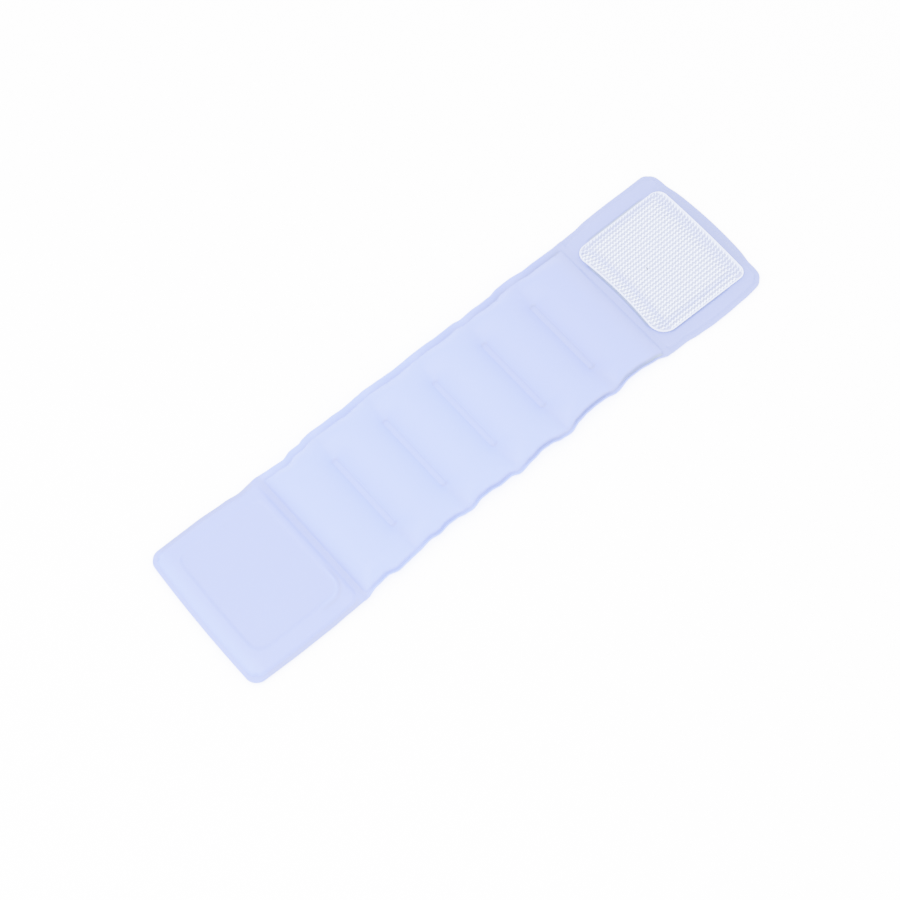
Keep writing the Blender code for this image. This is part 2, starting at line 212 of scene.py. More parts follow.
# Rim: how far it is drawn in and curled up, counted in lobes from the left cross seam
HEM = (
    # place, front in, back in, front curl, back curl
    (-1.00, 0.08, 0.34, 0.00, 0.00),
    (-0.55, -0.12, 0.38, 0.00, 0.00),
    (-0.30, -0.14, 0.64, 0.00, 0.05),
    (-0.17, -0.04, 0.92, 0.00, 0.10),
    (-0.07, -0.10, 0.86, 0.05, 0.12),
    (0.00, -0.10, 0.72, 0.10, 0.15),
    (0.24, 0.38, 0.96, 0.35, 0.25),
    (0.45, 0.54, 1.14, 0.56, 0.35),
    (0.62, 0.14, 0.70, 0.54, 0.34),
    (0.77, 0.28, 0.70, 0.50, 0.30),
    (0.88, 0.40, 0.40, 0.38, 0.25),
    (1.00, 0.51, 0.26, 0.24, 0.20),
    (1.26, 0.75, 0.44, 0.60, 0.50),
    (1.42, 0.53, 0.46, 0.76, 0.62),
    (1.62, 0.78, 0.58, 0.85, 0.70),
    (1.78, 0.76, 0.46, 0.66, 0.52),
    (1.93, 0.50, 0.32, 0.44, 0.36),
    (2.06, 0.42, 0.20, 0.22, 0.20),
    (2.28, 0.80, 0.38, 0.58, 0.50),
    (2.46, 0.76, 0.52, 0.84, 0.66),
    (2.64, 0.51, 0.58, 0.82, 0.62),
    (2.84, 0.62, 0.48, 0.50, 0.40),
    (3.00, 0.20, 0.34, 0.20, 0.22),
    (3.30, 0.50, 0.45, 0.70, 0.50),
    (3.50, 0.74, 0.59, 0.86, 0.64),
    (3.66, 0.65, 0.59, 0.84, 0.66),
    (3.84, 0.27, 0.47, 0.45, 0.35),
    (4.02, 0.16, 0.63, 0.18, 0.15),
    (4.26, 0.69, 0.60, 0.66, 0.46),
    (4.42, 0.88, 0.72, 0.88, 0.64),
    (4.60, 0.94, 0.70, 0.84, 0.62),
    (4.78, 0.88, 0.40, 0.76, 0.58),
    (5.00, 0.60, 0.27, 0.22, 0.25),
    (5.30, 1.06, 0.62, 0.80, 0.60),
    (5.48, 1.07, 0.56, 0.94, 0.70),
    (5.78, 0.80, 0.52, 0.66, 0.54),
    (6.00, 0.24, 0.50, 0.25, 0.30),
    (6.17, 0.24, 0.38, 0.00, 0.05),
    (6.30, -0.05, 0.14, 0.00, 0.00),
    (6.44, -0.22, 0.08, 0.00, 0.00),
    (6.58, -0.24, 0.08, 0.00, 0.00),
    (6.76, -0.12, 0.12, 0.00, 0.00),
    (7.00, 0.24, 0.12, 0.00, 0.00),
)

# Columns of the rim's values, without the place
FRONT_IN, BACK_IN, FRONT_CURL, BACK_CURL = range(4)

# Corners of a square, in turn
SQUARE = ((-1, -1), (1, -1), (1, 1), (-1, 1))


def ease(share):
    """Smooth step: 0 up to 0, 1 from 1 on."""
    share = np.clip(share, 0.0, 1.0)
    return share * share * (3 - 2 * share)


def bell(distance, width):
    """1 where distance is 0, and close to 0 from about two widths on."""
    return np.exp(-(distance / width) ** 2)


def groove(distance, depth, width):
    """A soft pressed line where distance is 0."""
    return -depth * bell(distance, width)


def strip(distance, spot):
    """A soft strip across a distance, given by its place and width."""
    place, width = spot
    return bell(distance - place, width)


def fade(distance, spot):
    """A soft step up across a distance, given by its start and width."""
    start, width = spot
    return ease((distance - start) / width)


def place_x(place):
    """Distance along the band of a place that is counted in lobes."""
    if place < 0:
        return -POUCH_LENGTH / 2 + place * TAB_LENGTH
    if place > LOBES:
        return POUCH_LENGTH / 2 + (place - LOBES) * TAB_LENGTH
    marks = [-POUCH_LENGTH / 2] + BARS + [POUCH_LENGTH / 2]
    low = min(int(place), LOBES - 1)
    return marks[low] + (place - low) * (marks[low + 1] - marks[low])


HEM_X = np.array([place_x(row[0]) for row in HEM])
HEM_V = np.array([row[1:] for row in HEM])


def hem_value(x, column):
    """A rim value at distances x along the band, level at every named place."""
    k = np.clip(np.searchsorted(HEM_X, x) - 1, 0, len(HEM_X) - 2)
    share = ease((x - HEM_X[k]) / (HEM_X[k + 1] - HEM_X[k]))
    return HEM_V[k, column] + (HEM_V[k + 1, column] - HEM_V[k, column]) * share


def side_value(x, y, front, back):
    """A rim value from the front column at the front side, and from the back one behind."""
    return np.where(y < 0, hem_value(x, front), hem_value(x, back))


def round_corner(x, y, half_x, half_y, radius):
    """Wrap the square corners of a sheet onto arcs."""
    dx = np.abs(x) - (half_x - radius)
    dy = np.abs(y) - (half_y - radius)
    inside = (dx <= 0) | (dy <= 0)
    scale = np.maximum(dx, dy) / np.maximum(np.hypot(dx, dy), 1e-9)
    new_x = np.where(inside, x, np.copysign(half_x - radius + dx * scale, x))
    new_y = np.where(inside, y, np.copysign(half_y - radius + dy * scale, y))
    return new_x, new_y


def outside_box(x, y, half_x, half_y, radius):
    """Distance outside a round-cornered rectangle, negative inside it."""
    dx = np.abs(x) - (half_x - radius)
    dy = np.abs(y) - (half_y - radius)
    return np.hypot(np.maximum(dx, 0), np.maximum(dy, 0)) + np.minimum(np.maximum(dx, dy), 0) - radius


def ripple(x, y, seed, scale):
    """Smooth uneven height, about -1 to 1, from crossed waves that unlike factors keep from lining up."""
    waves, turn, height = 7, 2.399, 4.2
    total = np.zeros_like(x)
    for k in range(waves):
        angle = turn * k + seed
        size = scale * (0.62 + 0.13 * ((k * 5 + int(seed * waves)) % waves))
        phase = 1.7 * k * k + seed * 3.1
        wave = (x * math.cos(angle) + y * math.sin(angle)) / size
        total += np.sin(2 * math.pi * wave + phase + 0.8 * np.sin(wave * 1.3 + k))
    return total / height


def end_shift(x, y):
    """Shift along the band of its bowed and skewed ends, and of its slight stretch."""
    side = y / (HALF_WIDTH - CORNER_RADIUS)
    along = np.maximum(0.0, (np.abs(x) - SEAM_OUT) / (HALF_LENGTH - SEAM_OUT))
    right = (RIGHT_BOW * side * side - RIGHT_SKEW * side) * along
    right = right + SHOULDER * bell(np.abs(y) - SHOULDER_Y, SHOULDER_WIDTH) * along ** 3
    left = (LEFT_BOW * side * side - LEFT_SKEW * side) * along
    stretch = RIGHT_STRETCH * np.clip((x - BARS[3]) / (HALF_LENGTH - BARS[3]), 0, 1)
    stretch = stretch - LEFT_STRETCH * np.clip((BARS[1] - x) / (BARS[1] + HALF_LENGTH), 0, 1)
    return np.where(x > 0, -right, left) + stretch


def band_plan(x, y):
    """Plan of the band: round corners, drawn-in rim and bowed ends."""
    new_x, new_y = round_corner(x, y, HALF_LENGTH, HALF_WIDTH, CORNER_RADIUS)
    inner = BAR_LENGTH / 2
    share = ease((np.abs(y) - inner) / (WELD_Y - inner))
    pouch = ease((SEAM_OUT - np.abs(x)) / RIM_FADE)
    narrow = WELD * np.where(y < 0, FRONT_SQUEEZE, -BACK_SPREAD) * pouch
    pull = (side_value(x, y, FRONT_IN, BACK_IN) * HEM_PULL - narrow) * share
    pull = pull + narrow * np.clip((np.abs(y) - WELD_Y) / WELD, 0, 1)
    pull = pull - np.where(y < 0, FRONT_REACH, 0) * share * (1 - POUCH_REACH_LOSS * pouch)
    return new_x + end_shift(x, y), new_y - np.sign(y) * pull


def left_level(x, y):
    """Weld height of the left tab, which lies over the loop patch and droops past it."""
    beyond = outside_box(x + LOOP_X, y, LOOP_LENGTH / 2, LOOP_WIDTH / 2, LOOP_RADIUS)
    reach = HALF_WIDTH - LOOP_WIDTH / 2
    return LEFT_LEVEL - RIM_DROOP * ease(beyond / reach) * ease((-x - SEAM_OUT) / END_WALL)


def weld_level(x, y):
    """Height of the plane where the two films meet."""
    first = LEFT_LEVEL + (POUCH_WELD_HEIGHT - LEFT_LEVEL) * ease((x + SEAM_IN) / LOBE_HALF)
    share = (x - BARS[-1]) / (SEAM_IN - BARS[-1])
    last = POUCH_WELD_HEIGHT + (RIGHT_SEAM_HEIGHT - POUCH_WELD_HEIGHT) * ease(share)
    hook_edge = HOOK_X - HOOK_LENGTH / 2 - CLEARANCE
    share = np.clip((x - SEAM_OUT) / (hook_edge - SEAM_OUT), 0, 1)
    flat = RIGHT_SEAM_HEIGHT + (FLAT_LEVEL - RIGHT_SEAM_HEIGHT) * ease(share)
    level = np.where(x <= -SEAM_IN, left_level(x, y), first)
    level = np.where(x > BARS[0], POUCH_WELD_HEIGHT, level)
    level = np.where(x > BARS[-1], last, level)
    level = np.where(x > SEAM_IN, RIGHT_SEAM_HEIGHT, level)
    level = np.where(x > SEAM_OUT, flat, level)
    rim = np.maximum(0.0, (np.abs(y) - WELD_Y) / WELD)
    curl = side_value(x, y, FRONT_CURL, BACK_CURL) * np.where(y < 0, HEM_CURL["front"], HEM_CURL["back"])
    return level + curl * rim ** CURL_POWER


def past_tip(y):
    """Distance past the ends of the bar welds, negative between them."""
    return np.abs(y - BAR_Y) - BAR_TIP


def bar_axis(x):
    """Distance along the band from the nearest bar weld's middle."""
    return np.min([np.abs(x - bar) for bar in BARS], axis=0)


def bar_distance(x, y):
    """Distance from the nearest bar weld's outline, negative inside the bar."""
    past = np.maximum(0.0, past_tip(y))
    return np.min([np.hypot(x - bar, past) for bar in BARS], axis=0) - BAR_WIDTH / 2


def lobe_fill(x, y):
    """How full the pouch is, 0 at every weld and 1 on a lobe's crown."""
    room = np.clip((SEAM_IN - np.abs(x)) / LOBE_HALF, 0, 1)
    fill = 1 - (1 - room) ** SEAM_POWER
    past = TIP_STRETCH * np.maximum(0.0, past_tip(y))
    for bar in BARS:
        reach = np.hypot(np.hypot(x - bar, past), TIP_ROUND * ease(past / TIP_REACH)) - BAR_WIDTH / 2
        fill = fill * (1 - (1 - np.clip(reach / LOBE_HALF, 0, 1)) ** BAR_POWER)
    wall = 1 - np.clip((WELD_Y - np.abs(y)) / END_WALL, 0, 1)
    dip = DIP_DEPTH * bell(bar_axis(x), DIP_WIDTH) * ease((np.abs(y) - DIP_START) / DIP_REACH)
    return fill * (1 - dip) * np.maximum(0, 1 - wall * wall) ** WALL_POWER


def pouch_fill(x, y, pouch):
    """How full the pouch is, with its skin already lifted a little at the welds."""
    return lobe_fill(x, y) * ease(pouch / SKIN_REACH + SKIN_LIFT)


def left_pocket(x, y):
    """Distance inside the left tab's pocket, negative outside it."""
    radius = np.where(y < 0, POCKET_RADII["front"], POCKET_RADII["back"])
    return -outside_box(x + TAB_MIDDLE, y, TAB_HALF, WELD_Y, radius)


def pocket_edges(x, y):
    """Distance inside the nearest of the three pockets, and inside the pouch alone."""
    pouch = -outside_box(x, y, SEAM_IN, WELD_Y, POUCH_RADIUS)
    right = -outside_box(x - TAB_MIDDLE, y, TAB_HALF, WELD_Y, RIGHT_RADIUS)
    return np.maximum(np.maximum(left_pocket(x, y), pouch), right), pouch


def beyond_panel(x, y):
    """Distance outside the mark that the loop patch presses in the left tab."""
    return outside_box(x - PANEL_X, y - PANEL_Y, PANEL_LENGTH / 2, PANEL_WIDTH / 2, PANEL_RADIUS)


def panel_corner(x, y):
    """Share of the folded right front corner of the pressed panel."""
    return fade(x - PANEL_X, FOLD_FADE_X) * fade(-y, FOLD_FADE_Y) * (x < -SEAM_OUT)


def panel_creases(x, y, beyond):
    """Height of the fold at the panel's right front corner and of the line at its left end."""
    fold = FOLD_RISE * strip(beyond, FOLD_CREST) - FOLD_DEPTH * strip(beyond, FOLD_VALLEY)
    line = PANEL_LINE * strip(beyond, PANEL_LINE_STRIP)
    line = line * fade(PANEL_X - x, PANEL_LINE_X) * fade(-y, PANEL_LINE_Y)
    return fold * panel_corner(x, y) - line


def tab_lift(x, y):
    """Lift of the upper film over the left tab, with the ridge round the pressed panel."""
    beyond = beyond_panel(x, y)
    panel_back = PANEL_Y + PANEL_WIDTH / 2
    ridge = PANEL_RIDGE * (1 - RIDGE_BACK_LOSS * fade(y - panel_back, RIDGE_BACK_FADE))
    ridge = ridge * (1 - RIDGE_RIGHT_LOSS * fade(x - PANEL_X, RIDGE_RIGHT_FADE))
    rise = PANEL_LIFT + (ridge - PANEL_LIFT) * ease(beyond / RIDGE_WIDTH)
    pocket = left_pocket(x, y)
    fall = np.clip(pocket / np.maximum(pocket + beyond - RIDGE_WIDTH, 1e-6), 0, 1)
    fall = np.where(beyond > RIDGE_WIDTH, fall, 1)
    soft = fade(x + SEAM_OUT, RIDGE_SOFT_FADE)
    lift = rise * (np.sin(fall * math.pi / 2) * (1 - soft) + ease(fall) * soft)
    creases = panel_creases(x, y, beyond) * ease(pocket / POCKET_SOFT)
    return np.where(pocket > 0, lift + creases, 0) * (x < 0)


def hook_radius(x, y):
    """Corner radius of the hook patch in the quarter that holds a place on it."""
    left = np.where(y < 0, HOOK_RADII["front left"], HOOK_RADII["back left"])
    right = np.where(y < 0, HOOK_RADII["front right"], HOOK_RADII["back right"])
    return np.where(x < 0, left, right)


def hook_bend(x, y):
    """Shift of a place on the straight patch that bows its ends and tilts its front edge."""
    side = (y / (HOOK_WIDTH / 2)) ** 2
    left = HOOK_LEFT_BOW * (1 - side) * np.clip(-x / (HOOK_LENGTH / 2), 0, 1)
    right = HOOK_RIGHT_BOW * side * np.clip(x / (HOOK_LENGTH / 2), 0, 1)
    tilt = HOOK_FRONT_TILT * x / (HOOK_LENGTH / 2) * np.clip(-y / (HOOK_WIDTH / 2), 0, 1)
    return left - right, -tilt


def beyond_hook(x, y):
    """Distance outside the hook patch of a place on the band, and that place on the patch."""
    px, py = band_plan(x, y)
    px, py = px - CENTRE[0] - hook_x, py - CENTRE[1] - hook_y
    dx, dy = hook_bend(px, py)
    px, py = px - dx, py - dy
    return outside_box(px, py, HOOK_LENGTH / 2, HOOK_WIDTH / 2, hook_radius(px, py)), px, py


def gap_side(along, beyond, side):
    """Share of the gap on one side of the hook patch, fading along it and out from it."""
    gap = GAP[side]
    return ease((gap["half"] - np.abs(along)) / gap["fade"]) * ease((gap["reach"] - beyond) / gap["soft"])


def trench(x, y):
    """Share of the narrow gap that runs along three sides of the hook patch."""
    beyond, px, py = beyond_hook(x, y)
    left = gap_side(py, beyond, "left") * fade(-px - HOOK_LENGTH / 2, GAP_LEFT_FADE)
    back = gap_side(px, beyond, "back") * (py > HOOK_WIDTH / 2 - GAP_STRIP)
    front = gap_side(px + GAP_FRONT_SHIFT, beyond, "front") * (py < GAP_STRIP - HOOK_WIDTH / 2)
    share = np.maximum(left, np.maximum(back, GAP_FRONT_SHARE * front))
    return share * fade(beyond, GAP_INSIDE_FADE) * (x > 0)


def line_depth(x, y, pouch):
    """Depth of the line pressed round each pocket: plain at the front and left, faint at the back."""
    tab = TAB_LINE + TAB_FRONT_LINE * fade(-y, TAB_FRONT_FADE)
    tab = tab + TAB_END_LINE * fade(-HALF_LENGTH - x, TAB_END_FADE)
    return np.where(pouch > -FILM, POUCH_LINE, tab)


def pocket_line(x, y, inside, pouch):
    """Height of the pressed line round each pocket, with a low lip inside it on the tabs."""
    line = line_depth(x, y, pouch)
    lip = LINE_LIP * line * strip(inside, LIP_STRIP) * (pouch < -FILM)
    return groove(inside, line, LINE_WIDTH) + lip


def bar_marks(x, y):
    """Height of the bar welds' flat crowns and edge lines, and of the dip past their ends."""
    bar = bar_distance(x, y)
    tip = ease(past_tip(y) / TIP_FADE)
    past = np.maximum(0.0, past_tip(y) - BAR_WIDTH / 2)
    crown = BAR_CROWN * fade(-bar, CROWN_FADE)
    edge = groove(bar + LINE_INSET, BAR_LINE + TIP_LINE * tip, BAR_LINE_WIDTH)
    return crown + edge + groove(bar_axis(x), AXIS_DIP, AXIS_WIDTH) * ease(past / AXIS_REACH)


def unevenness(x, y, fill, inside, pouch):
    """Height of the lobes' soft swells and dimples, and of the puckers along their welds."""
    z = fill * SWELL * ripple(x, y, SWELL_SEED, SWELL_LENGTH)
    z = z + fill * DIMPLE * ripple(x, y, DIMPLE_SEED, DIMPLE_LENGTH)
    near = ease(inside / PUCKER_START) * (1 - ease((inside - PUCKER_START) / PUCKER_REACH)) * (pouch > 0)
    return z + near * PUCKER * ripple(x, y * PUCKER_STRETCH, PUCKER_SEED, PUCKER_LENGTH)


def upper_height(x, y):
    """Outer face of the band's upper side."""
    inside, pouch = pocket_edges(x, y)
    step = SKIN_REACH + SEAM_SKIN_REACH * bell(x + SEAM_OUT, SEAM_SKIN_WIDTH) * (pouch < 0)
    fill = pouch_fill(x, y, pouch)
    z = weld_level(x, y) + EDGE + SKIN * ease(inside / step)
    z = z + LOBE_RISE * fill + tab_lift(x, y)
    z = z + bar_marks(x, y) + pocket_line(x, y, inside, pouch)
    z = z + groove(x - TROUGH_X, SEAM_TROUGH, TROUGH_WIDTH)
    return z + unevenness(x, y, fill, inside, pouch) - TRENCH_DEPTH * trench(x, y)


def lower_height(x, y):
    """Outer face of the band's lower side, flat where it lies on the surface."""
    level = weld_level(x, y) + groove(x - TROUGH_X, SEAM_TROUGH, TROUGH_WIDTH)
    inside, pouch = pocket_edges(x, y)
    skin = level - EDGE - SKIN * ease(inside / SKIN_REACH)
    z = skin - skin * np.minimum(1.0, BOTTOM_ROUND * pouch_fill(x, y, pouch))
    marks = LOWER_RIM * bell(inside, LOWER_WIDTH) + LOWER_BAR * bell(bar_distance(x, y), LOWER_WIDTH)
    return np.maximum(z + np.where(z > LOWER_CLEAR, marks, 0), 0.0)


def tab_tone(x, y, inside):
    """Tone of the film by its place along the band, and of the rim on both tabs: duller on the gel-less
    tabs, and darker towards the right as painted shade where the light falls off.
    """
    left = TONE["left tab"] * fade(-x - SEAM_IN, LEFT_TAB_FADE) * fade(x + HALF_LENGTH, LEFT_END_FADE)
    lobes = TONE["right lobes"] * np.clip(x / RIGHT_LOBES_REACH, 0, 1)
    seam = TONE["right seam"] * ease((x - RIGHT_SEAM_START) / (SEAM_OUT - RIGHT_SEAM_START))
    end = fade(x - HALF_LENGTH, RIGHT_END_FADE) * fade(-np.abs(y), RIGHT_END_SIDE_FADE)
    end = TONE["right end"] * end * (1 - LAST_EDGE_LOSS * fade(x - HALF_LENGTH, LAST_EDGE_FADE))
    left_rim = TONE["left rim"] * ease((-x - SEAM_OUT) / LEFT_RIM_REACH)
    rim = ease(-inside / RIM_REACH) * np.where(x > 0, TONE["right rim"], left_rim)
    return left + lobes + seam + TONE["right tab"] * fade(x, RIGHT_TAB_FADE) + end + rim


def bar_tone(x, y, pouch):
    """Tone on and round the bar welds, and on the dip past their ends: the weld's own duller tone, and
    painted shade in its edge and tip creases, round it and in the dip.
    """
    bar = bar_distance(x, y)
    tone = TONE["bar"] * ease(-bar / BAR_REACH) + TONE["bar edge"] * strip(bar, BAR_EDGE_STRIP)
    dip = np.where(y < 0, TONE["front axis"], TONE["back axis"]) * bell(bar_axis(x), AXIS_TONE_WIDTH)
    tone = tone + dip * ease((past_tip(y) - BAR_WIDTH / 2) / AXIS_TONE_REACH) * (pouch > 0)
    tone = tone + TONE["bar tip"] * strip(bar, BAR_TIP_STRIP) * ease(past_tip(y) / TIP_FADE)
    return tone + TONE["bar halo"] * np.exp(-np.maximum(bar, 0) / BAR_HALO_REACH)


def panel_tone(x, y):
    """Tone of the pressed panel, with painted shade in the fold at its corner and a painted highlight on the
    fold's crest.
    """
    beyond = beyond_panel(x, y)
    fold = TONE["fold"] * strip(beyond, FOLD_DARK) - TONE["fold crest"] * strip(beyond, FOLD_LIGHT)
    return TONE["panel"] * ease(1 - beyond / PANEL_REACH) + fold * panel_corner(x, y)


def crease_tone(x, y, inside):
    """Tone of the crease where the lobes' walls meet the rim: painted shade, darker towards the right."""
    crease = strip(inside, CREASE_STRIP) * fade(np.abs(y), CREASE_SIDE_FADE)
    crease = crease * fade(SEAM_IN - np.abs(x), CREASE_END_FADE)
    crease = crease * (1 - CREASE_DIP_LOSS * bell(bar_axis(x), DIP_WIDTH))
    along = ease((x + SEAM_IN) / (2 * SEAM_IN))
    front, front_gain = TONE["front crease"]
    back, back_gain = TONE["back crease"]
    return crease * np.where(y < 0, front + front_gain * along, back + back_gain * along)


def pressed(x, y):
    """Tone of the film: 0 over gel, 0.5 dull where there is none below it, 1 in a dark crease, where it is
    painted shade. The shares in between also hold painted shade.
    """
    inside, pouch = pocket_edges(x, y)
    share = tab_tone(x, y, inside) + TONE["pocket line"] * bell(inside, POCKET_LINE_WIDTH)
    share = share + TONE["left seam"] * strip(x + SEAM_IN, LEFT_SEAM_STRIP)
    share = share + bar_tone(x, y, pouch) + panel_tone(x, y) + crease_tone(x, y, inside)
    # The trench share darkens the gap beside the hook patch as a painted shadow.
    return np.clip(share + TONE["trench"] * trench(x, y), 0, TONE["darkest"])


def lines(low, high, marks, coarse):
    """Mesh lines from low to high, closer together round each mark (place, reach, step)."""
    growth = 0.35
    places = [low]
    while places[-1] < high:
        x = places[-1]
        step = coarse
        for place, reach, fine in marks:
            away = max(0.0, abs(x - place) - reach)
            step = min(step, fine + growth * away)
        places.append(x + step)
    places = np.array(places)
    return low + (places - low) * (high - low) / (places[-1] - low)


def pair(middle, half, reach, step):
    """Marks for mesh lines at two places, one on each side of a middle."""
    return [(middle - half, reach, step), (middle + half, reach, step)]


def closed_sheet(xs, ys, plan, upper, lower, edge, tint=None):
    """Closed mesh between an upper and a lower surface over one grid, with a round edge."""
    arc = 4
    nx, ny = len(xs), len(ys)
    gx, gy = np.meshgrid(xs, ys, indexing="ij")
    px, py = plan(gx, gy)
    top = np.stack([px, py, upper(gx, gy)], -1).reshape(-1, 3)
    bottom = np.stack([px, py, lower(gx, gy)], -1).reshape(-1, 3)
    index = np.arange(nx * ny).reshape(nx, ny)
    quads = np.stack([index[:-1, :-1], index[1:, :-1], index[1:, 1:], index[:-1, 1:]], -1)
    quads = quads.reshape(-1, 4)
    loop = np.concatenate([index[:, 0], index[-1, 1:], index[-2::-1, -1], index[0, -2:0:-1]])
    ring_top = top[loop]
    ring_low = bottom[loop]
    along = np.roll(ring_top, -1, 0) - np.roll(ring_top, 1, 0)
    out = np.stack([along[:, 1], -along[:, 0]], -1)
    out /= np.maximum(np.linalg.norm(out, axis=1), 1e-9)[:, None]
    verts = [top, bottom]
    count = nx * ny
    faces = [quads, quads[:, ::-1] + count]
    rings = [loop]
    offset = 2 * count
    for k in range(1, arc):
        angle = math.pi * k / arc
        share = (1 - math.cos(angle)) / 2
        ring = ring_top * (1 - share) + ring_low * share
        ring[:, :2] += out * edge * math.sin(angle)
        verts.append(ring)
        rings.append(np.arange(len(loop)) + offset)
        offset += len(loop)
    rings.append(loop + count)
    for upper_ring, lower_ring in zip(rings, rings[1:]):
        a, b = upper_ring, np.roll(upper_ring, -1)
        c, d = np.roll(lower_ring, -1), lower_ring
        faces.append(np.stack([a, d, c, b], -1))
    shade = np.zeros(offset)
    if tint is not None:
        shade[:count] = tint(gx, gy).ravel()
        shade[2 * count:] = np.tile(shade[loop], arc - 1)
    return np.concatenate(verts), np.concatenate(faces), shade


def make_mesh(name, verts, faces, material, shade=None):
    """A smooth mesh object from points in millimetres and four-sided faces."""
    mesh = bpy.data.meshes.new(name)
    faces = np.asarray(faces, dtype=np.int32)
    mesh.vertices.add(len(verts))
    mesh.vertices.foreach_set("co", (np.asarray(verts, dtype=np.float64) * MM).ravel())
    mesh.loops.add(faces.size)
    mesh.loops.foreach_set("vertex_index", faces.ravel())
    mesh.polygons.add(len(faces))
    mesh.polygons.foreach_set("loop_start", np.arange(0, faces.size, faces.shape[1]))
    mesh.polygons.foreach_set("use_smooth", np.full(len(faces), True))
    mesh.update(calc_edges=True)
    mesh.validate()
    mesh.materials.append(material)
    if shade is not None:
        mesh.attributes.new("press_and_shade", "FLOAT", "POINT").data.foreach_set("value", shade)
    obj = bpy.data.objects.new(name, mesh)
    bpy.context.scene.collection.objects.link(obj)
    return obj


class Nodes:
    """Short hand for building a material's node tree."""

    def __init__(self, name):
        self.material = bpy.data.materials.new(name)
        self.material.use_nodes = True
        self.tree = self.material.node_tree
        self.shader = self.tree.nodes["Principled BSDF"]

    def add(self, kind, **values):
        node = self.tree.nodes.new(kind)
        for key, value in values.items():
            if key in node.inputs.keys():
                node.inputs[key].default_value = value
            else:
                setattr(node, key, value)
        return node

    def link(self, output, target):
        self.tree.links.new(output, target)

    def set(self, **values):
        for key, value in values.items():
            self.shader.inputs[key.replace("_", " ")].default_value = value


def object_position(n):
    """Position on the object in metres, which doesn't depend on the camera."""
    return n.add("ShaderNodeTexCoord").outputs["Object"]


def noise(n, position, scale, detail, rough=0.55):
    """Soft noise from 0 to 1."""
    node = n.add("ShaderNodeTexNoise", Scale=scale, Detail=detail, Roughness=rough)
    n.link(position, node.inputs["Vector"])
    return node.outputs["Fac"]


def bump(n, height, strength, distance, normal=None):
    """Normal of a fine surface with the given height, over another normal if there is one."""
    node = n.add("ShaderNodeBump", Strength=strength, Distance=distance)
    n.link(height, node.inputs["Height"])
    if normal is not None:
        n.link(normal, node.inputs["Normal"])
    return node.outputs["Normal"]


def tones(n, value, colors, low=0.0, high=1.0):
    """Color ramp with colors evenly spread from low to high."""
    node = n.add("ShaderNodeValToRGB")
    stops = node.color_ramp.elements
    while len(stops) < len(colors):
        stops.new(0.5)
    for k, color in enumerate(colors):
        stops[k].position = low + (high - low) * k / (len(colors) - 1)
        stops[k].color = (*color, 1)
    n.link(value, node.inputs["Fac"])
    return node.outputs["Color"]


def clouded_press_and_shade(n, position, scale, detail, amount):
    """The mesh's attribute of pressed tones and painted shade, made a little uneven by soft noise."""
    press_and_shade = n.add("ShaderNodeAttribute", attribute_name="press_and_shade")
    cloud = n.add("ShaderNodeMath", operation="MULTIPLY_ADD")
    n.link(noise(n, position, scale, detail), cloud.inputs[0])
    cloud.inputs[1].default_value = amount
    n.link(press_and_shade.outputs["Fac"], cloud.inputs[2])
    return cloud.outputs[0]


def film_material():
    """Matte, slightly milky plastic film."""
    n = Nodes("film")
    position = object_position(n)
    tone = clouded_press_and_shade(n, position, scale=55.0, detail=3.0, amount=0.05)
    n.link(tones(n, tone, FILM_COLORS), n.shader.inputs["Base Color"])
    fine = noise(n, position, scale=4200.0, detail=2.0, rough=0.6)
    soft = noise(n, position, scale=620.0, detail=3.0, rough=0.5)
    grain = bump(n, fine, strength=0.10, distance=0.00004)
    n.link(bump(n, soft, strength=0.12, distance=0.00010, normal=grain), n.shader.inputs["Normal"])
    rough = n.add("ShaderNodeMapRange")
    rough.inputs["To Min"].default_value = 0.50
    rough.inputs["To Max"].default_value = 0.60
    n.link(soft, rough.inputs["Value"])
    n.link(rough.outputs["Result"], n.shader.inputs["Roughness"])
    n.set(IOR=1.46, Subsurface_Weight=0.12, Subsurface_Scale=0.0012)
    n.shader.inputs["Subsurface Radius"].default_value = (0.8, 0.9, 1.2)
    return n.material


SPECK = (86.1, 0.55)
SPECK_CORE, SPECK_EDGE = 0.30, 0.42
SPECK_COLOR = (0.05, 0.05, 0.09)


def with_speck(n, position, color):
    """The color with one small dark fleck at SPECK."""
    flat = n.add("ShaderNodeVectorMath", operation="MULTIPLY")
    flat.inputs[1].default_value = (1, 1, 0)
    n.link(position, flat.inputs[0])
    away = n.add("ShaderNodeVectorMath", operation="DISTANCE")
    away.inputs[1].default_value = (SPECK[0] * MM, SPECK[1] * MM, 0)
    n.link(flat.outputs["Vector"], away.inputs[0])
    near = n.add("ShaderNodeMapRange")
    near.inputs["From Min"].default_value = SPECK_EDGE * MM
    near.inputs["From Max"].default_value = SPECK_CORE * MM
    n.link(away.outputs["Value"], near.inputs["Value"])
    mix = n.add("ShaderNodeMix", data_type="RGBA")
    n.link(near.outputs["Result"], mix.inputs["Factor"])
    n.link(color, mix.inputs[6])
    mix.inputs[7].default_value = (*SPECK_COLOR, 1)
    return mix.outputs[2]


def tape_material(name, colors, rough, speck=False):
    """White nylon of the hook and loop tape in tones from pressed to light, with the fleck if asked. On the
    hook tape the darker tones below the hooks are painted shade between them.
    """
    n = Nodes(name)
    position = object_position(n)
    tone = clouded_press_and_shade(n, position, scale=900.0, detail=2.0, amount=0.15)
    color = tones(n, tone, colors)
    if speck:
        color = with_speck(n, position, color)
    n.link(color, n.shader.inputs["Base Color"])
    fine = noise(n, position, scale=5200.0, detail=2.0, rough=0.6)
    n.link(bump(n, fine, strength=0.25, distance=0.00005), n.shader.inputs["Normal"])
    n.set(Roughness=rough, IOR=1.5, Sheen_Weight=0.15, Sheen_Roughness=0.5)
    return n.material


